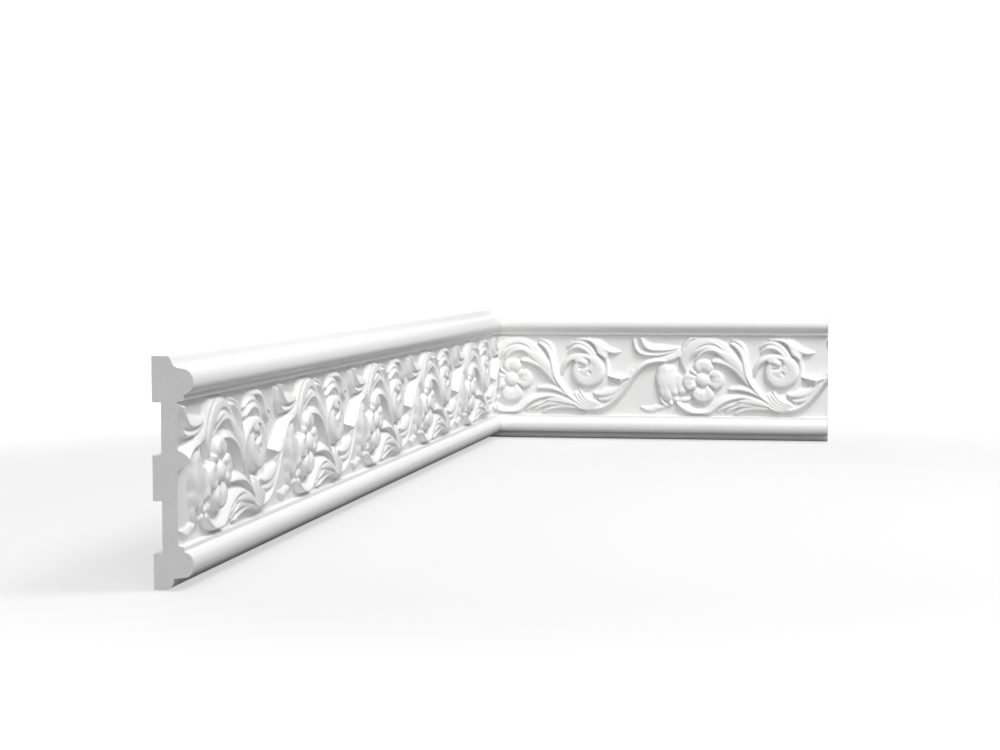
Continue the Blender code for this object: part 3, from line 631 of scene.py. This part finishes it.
def math_node(tree, operation, a, b):
    node = tree.nodes.new("ShaderNodeMath")
    node.operation = operation
    feed(tree, node.inputs[0], a)
    feed(tree, node.inputs[1], b)
    return node.outputs[0]


def mix_colours(tree, share, first, second, blend="MIX"):
    node = tree.nodes.new("ShaderNodeMix")
    node.data_type = "RGBA"
    node.blend_type = blend
    feed(tree, node.inputs["Factor"], share)
    for place, colour in zip(MIX_COLOURS, (first, second)):
        feed(tree, node.inputs[place], colour)
    return node.outputs[MIX_RESULT]


def stretch(tree, value, low, high):
    """A value between low and high, stretched to lie between 0 and 1."""
    node = tree.nodes.new("ShaderNodeMapRange")
    node.inputs["From Min"].default_value = low
    node.inputs["From Max"].default_value = high
    tree.links.new(value, node.inputs["Value"])
    return node.outputs["Result"]


def object_place(tree):
    return tree.nodes.new("ShaderNodeTexCoord").outputs["Object"]


def make_mottle_group():
    """Two tones mixed by a broad and a fine noise: the slight unevenness of a sprayed or cast surface."""
    group, entry, leave = new_group("surface_mottle", [
        ("Tone", "NodeSocketColor", (0.9, 0.9, 0.9, 1)),
        ("Shade", "NodeSocketColor", (0.85, 0.85, 0.85, 1)),
        ("Broad Scale", "NodeSocketFloat", 22.0),
        ("Fine Scale", "NodeSocketFloat", 420.0),
        ("Roughness", "NodeSocketFloat", 0.5),
        ("Roughness Spread", "NodeSocketFloat", 0.1),
    ], [("Color", "NodeSocketColor"), ("Roughness", "NodeSocketFloat")])
    place = object_place(group)
    broad = group.nodes.new("ShaderNodeTexNoise")
    fine = group.nodes.new("ShaderNodeTexNoise")
    for node, scale in ((broad, "Broad Scale"), (fine, "Fine Scale")):
        node.inputs["Detail"].default_value = 4.0
        group.links.new(place, node.inputs["Vector"])
        group.links.new(entry.outputs[scale], node.inputs["Scale"])
    broad_part = math_node(group, "MULTIPLY", broad.outputs["Fac"], 0.65)
    fine_part = math_node(group, "MULTIPLY", fine.outputs["Fac"], 0.35)
    share = stretch(group, math_node(group, "ADD", broad_part, fine_part), 0.34, 0.66)
    colour = mix_colours(group, share, entry.outputs["Tone"], entry.outputs["Shade"])
    group.links.new(colour, leave.inputs["Color"])
    spread = math_node(group, "SUBTRACT", share, 0.5)
    spread = math_node(group, "MULTIPLY", spread, entry.outputs["Roughness Spread"])
    group.links.new(math_node(group, "ADD", spread, entry.outputs["Roughness"]), leave.inputs["Roughness"])
    return group


def make_spray_group():
    """The height of sprayed primer: a fine orange peel with a few raised specks."""
    group, entry, leave = new_group("sprayed_coat", [
        ("Peel Scale", "NodeSocketFloat", 900.0),
        ("Speck Scale", "NodeSocketFloat", 260.0),
        ("Speck Share", "NodeSocketFloat", 0.5),
    ], [("Height", "NodeSocketFloat")])
    place = object_place(group)
    peel = group.nodes.new("ShaderNodeTexNoise")
    peel.inputs["Detail"].default_value = 2.0
    specks = group.nodes.new("ShaderNodeTexVoronoi")
    group.links.new(place, peel.inputs["Vector"])
    group.links.new(place, specks.inputs["Vector"])
    group.links.new(entry.outputs["Peel Scale"], peel.inputs["Scale"])
    group.links.new(entry.outputs["Speck Scale"], specks.inputs["Scale"])
    dots = stretch(group, specks.outputs["Distance"], 0.16, 0.04)
    raised = math_node(group, "MULTIPLY", dots, entry.outputs["Speck Share"])
    group.links.new(math_node(group, "ADD", peel.outputs["Fac"], raised), leave.inputs["Height"])
    return group


def make_foam_group():
    """The cut core: fine closed cells, and the faint lines that the saw left up the cut."""
    group, entry, leave = new_group("sawn_foam", [
        ("Cell Scale", "NodeSocketFloat", 1500.0),
        ("Line Scale", "NodeSocketFloat", 300.0),
        ("Line Share", "NodeSocketFloat", 0.5),
    ], [("Height", "NodeSocketFloat"), ("Pores", "NodeSocketFloat")])
    place = object_place(group)
    cells = group.nodes.new("ShaderNodeTexVoronoi")
    group.links.new(place, cells.inputs["Vector"])
    group.links.new(entry.outputs["Cell Scale"], cells.inputs["Scale"])
    lines = group.nodes.new("ShaderNodeTexWave")
    lines.bands_direction = "DIAGONAL"
    lines.inputs["Distortion"].default_value = 1.5
    lines.inputs["Detail"].default_value = 2.0
    group.links.new(place, lines.inputs["Vector"])
    group.links.new(entry.outputs["Line Scale"], lines.inputs["Scale"])
    pores = stretch(group, cells.outputs["Distance"], 0.05, 0.45)
    group.links.new(pores, leave.inputs["Pores"])
    drawn = math_node(group, "MULTIPLY", lines.outputs["Fac"], entry.outputs["Line Share"])
    group.links.new(math_node(group, "ADD", pores, drawn), leave.inputs["Height"])
    return group


def start_material(name):
    material = bpy.data.materials.new(name)
    material.use_nodes = True
    return material, material.node_tree, material.node_tree.nodes["Principled BSDF"]


def place_group(tree, group, **values):
    node = tree.nodes.new("ShaderNodeGroup")
    node.node_tree = group
    for name, value in values.items():
        node.inputs[name.replace("_", " ")].default_value = value
    return node


def add_bump(tree, shader, height, strength, distance):
    bump = tree.nodes.new("ShaderNodeBump")
    bump.inputs["Strength"].default_value = strength
    bump.inputs["Distance"].default_value = distance
    tree.links.new(height, bump.inputs["Height"])
    tree.links.new(bump.outputs["Normal"], shader.inputs["Normal"])


def make_primer(mottle, spray):
    """The face: a smooth white primer, ready for paint."""
    material, tree, shader = start_material("white_primer")
    tone = place_group(tree, mottle, Tone=(0.905, 0.905, 0.90, 1), Shade=(0.875, 0.877, 0.875, 1),
                       Broad_Scale=18.0, Fine_Scale=520.0, Roughness=0.46, Roughness_Spread=0.12)
    coat = place_group(tree, spray, Peel_Scale=1100.0, Speck_Scale=240.0, Speck_Share=0.35)
    tree.links.new(tone.outputs["Color"], shader.inputs["Base Color"])
    tree.links.new(tone.outputs["Roughness"], shader.inputs["Roughness"])
    shader.inputs["Specular IOR Level"].default_value = 0.45
    add_bump(tree, shader, coat.outputs["Height"], 0.10, 0.00012)
    return material


def make_back_coat(mottle, spray):
    """The back: the same primer, thin and dull, left as it came from the mould."""
    material, tree, shader = start_material("dull_back")
    tone = place_group(tree, mottle, Tone=(0.83, 0.825, 0.81, 1), Shade=(0.74, 0.735, 0.72, 1),
                       Broad_Scale=35.0, Fine_Scale=300.0, Roughness=0.68, Roughness_Spread=0.2)
    coat = place_group(tree, spray, Peel_Scale=500.0, Speck_Scale=160.0, Speck_Share=0.8)
    tree.links.new(tone.outputs["Color"], shader.inputs["Base Color"])
    tree.links.new(tone.outputs["Roughness"], shader.inputs["Roughness"])
    add_bump(tree, shader, coat.outputs["Height"], 0.3, 0.00025)
    return material


def make_sawn_core(mottle, foam):
    """The sawn ends: the pale core with its fine cells open."""
    material, tree, shader = start_material("sawn_core")
    tone = place_group(tree, mottle, Tone=(0.93, 0.93, 0.93, 1), Shade=(0.89, 0.89, 0.892, 1),
                       Broad_Scale=60.0, Fine_Scale=900.0, Roughness=0.75, Roughness_Spread=0.1)
    cells = place_group(tree, foam, Cell_Scale=1600.0, Line_Scale=120.0, Line_Share=0.3)
    pitted = mix_colours(tree, 0.18, tone.outputs["Color"], cells.outputs["Pores"], "MULTIPLY")
    tree.links.new(pitted, shader.inputs["Base Color"])
    tree.links.new(tone.outputs["Roughness"], shader.inputs["Roughness"])
    add_bump(tree, shader, cells.outputs["Height"], 0.25, 0.0001)
    return material


def make_fade_group():
    """The floor's painted glow, seen by the camera only: low near its middle, full from where it has faded
    to white.
    """
    group, entry, leave = new_group("fade_to_white", [
        ("Start", "NodeSocketFloat", FADE_START),
        ("End", "NodeSocketFloat", FADE_END),
        ("Middle", "NodeSocketFloat", FLOOR_GLOW),
    ], [("Glow", "NodeSocketFloat")])
    out = group.nodes.new("ShaderNodeVectorMath")
    out.operation = "LENGTH"
    group.links.new(object_place(group), out.inputs[0])
    fade = group.nodes.new("ShaderNodeMapRange")
    fade.interpolation_type = "SMOOTHSTEP"
    group.links.new(out.outputs["Value"], fade.inputs["Value"])
    group.links.new(entry.outputs["Start"], fade.inputs["From Min"])
    group.links.new(entry.outputs["End"], fade.inputs["From Max"])
    group.links.new(entry.outputs["Middle"], fade.inputs["To Min"])
    group.links.new(fade.outputs["Result"], leave.inputs["Glow"])
    return group


def make_floor():
    material, tree, shader = start_material("pale_floor")
    shader.inputs["Roughness"].default_value = 0.9
    shader.inputs["Specular IOR Level"].default_value = 0.0
    seen = tree.nodes.new("ShaderNodeLightPath").outputs["Is Camera Ray"]
    tree.links.new(mix_colours(tree, seen, FLOOR_AS_BOUNCE, FLOOR_AS_SEEN), shader.inputs["Base Color"])
    # Painted glow: an emission that only the camera sees, added over the floor's own colour to brighten it
    # further out
    fade = place_group(tree, make_fade_group())
    glow = math_node(tree, "MULTIPLY", fade.outputs["Glow"], seen)
    shader.inputs["Emission Color"].default_value = (1, 1, 1, 1)
    tree.links.new(glow, shader.inputs["Emission Strength"])
    bpy.ops.mesh.primitive_plane_add(size=FLOOR_SIZE, location=(0, 0, -FLOOR_DROP))
    floor = bpy.context.object
    floor.name = "floor"
    floor.data.materials.append(material)


def make_camera():
    camera = bpy.data.objects.new("camera", bpy.data.cameras.new("camera"))
    bpy.context.scene.collection.objects.link(camera)
    ahead = Vector((-math.sin(TURN_LEFT)*math.cos(TILT_DOWN), math.cos(TURN_LEFT)*math.cos(TILT_DOWN),
                    -math.sin(TILT_DOWN)))
    right = Vector((math.cos(TURN_LEFT), math.sin(TURN_LEFT), 0))
    up = right.cross(ahead)
    across = math.cos(ROLL)*right + math.sin(ROLL)*up
    upright = -math.sin(ROLL)*right + math.cos(ROLL)*up
    turn = Matrix((across, upright, -ahead)).transposed()
    camera.matrix_world = Matrix.Translation(CORNER + EYE) @ turn.to_4x4()
    camera.data.sensor_width = SENSOR
    camera.data.lens = FOCAL
    bpy.context.scene.camera = camera


def make_light(name, kind, energy, place, aim, **values):
    light = bpy.data.objects.new(name, bpy.data.lights.new(name, kind))
    light.data.energy = energy
    for key, value in values.items():
        setattr(light.data, key, value)
    light.location = place
    light.visible_camera = False
    light.rotation_euler = (Vector(aim) - Vector(place)).to_track_quat("-Z", "Y").to_euler()
    bpy.context.scene.collection.objects.link(light)


def make_lights():
    bpy.context.scene.view_settings.view_transform = "Standard"
    make_light("key", "AREA", KEY_POWER, CORNER + KEY_PLACE, CORNER + KEY_AIM, size=KEY_SIZE)
    make_light("front_fill", "SUN", FRONT_STRENGTH, FRONT_SIDE, (0, 0, 0), angle=FRONT_SPREAD)
    make_light("ceiling", "SUN", CEILING_STRENGTH, (0, 0, 1), (0, 0, 0), angle=CEILING_SPREAD)
    make_light("behind", "SUN", BEHIND_STRENGTH, BEHIND_SIDE, (0, 0, 0), angle=BEHIND_SPREAD)
    world = bpy.data.worlds.new("studio")
    bpy.context.scene.world = world
    world.use_nodes = True
    tree = world.node_tree
    fill = tree.nodes["Background"]
    fill.inputs["Color"].default_value = (1, 1, 1, 1)
    fill.inputs["Strength"].default_value = ROOM_STRENGTH
    white = tree.nodes.new("ShaderNodeBackground")
    white.inputs["Color"].default_value = (1, 1, 1, 1)
    white.inputs["Strength"].default_value = BACKGROUND_AS_SEEN
    path = tree.nodes.new("ShaderNodeLightPath")
    either = tree.nodes.new("ShaderNodeMixShader")
    tree.links.new(path.outputs["Is Camera Ray"], either.inputs["Fac"])
    tree.links.new(fill.outputs["Background"], either.inputs[1])
    tree.links.new(white.outputs["Background"], either.inputs[2])
    tree.links.new(either.outputs["Shader"], tree.nodes["World Output"].inputs["Surface"])


def build():
    mottle = make_mottle_group()
    spray = make_spray_group()
    foam = make_foam_group()
    primer = make_primer(mottle, spray)
    finishes = (primer, make_back_coat(mottle, spray), make_sawn_core(mottle, foam), primer)
    frieze = carve_frieze()
    setback = MITRE_GAP/MM/math.sqrt(2)
    short_end = SHORT_LENGTH/MM
    long_end = LONG_LENGTH/MM
    to_part = Matrix.Translation(CORNER) @ Matrix.Scale(MM, 4)
    on_back_wall = to_part @ Matrix(((1, 0, 0, 0), (0, -1, 0, 0), (0, 0, 1, 0), (0, 0, 0, 1)))
    on_left_wall = to_part @ Matrix(((0, 1, 0, 0), (1, 0, 0, 0), (0, 0, 1, 0), (0, 0, 0, 1)))
    short_cuts = (((short_end, 0, 0), (1, 0, 0), CUT_FACE), ((setback, 0, 0), (-1, 1, 0), MITRED_FACE))
    long_cuts = (((-long_end, 0, 0), (-1, 0, 0), CUT_FACE), ((-setback, 0, 0), (1, 1, 0), MITRED_FACE))
    make_bar("short_length", 0, short_end, short_cuts, on_back_wall, frieze, finishes)
    make_bar("long_length", -long_end, 0, long_cuts, on_left_wall, frieze, finishes)
    make_floor()
    make_camera()
    make_lights()


build()
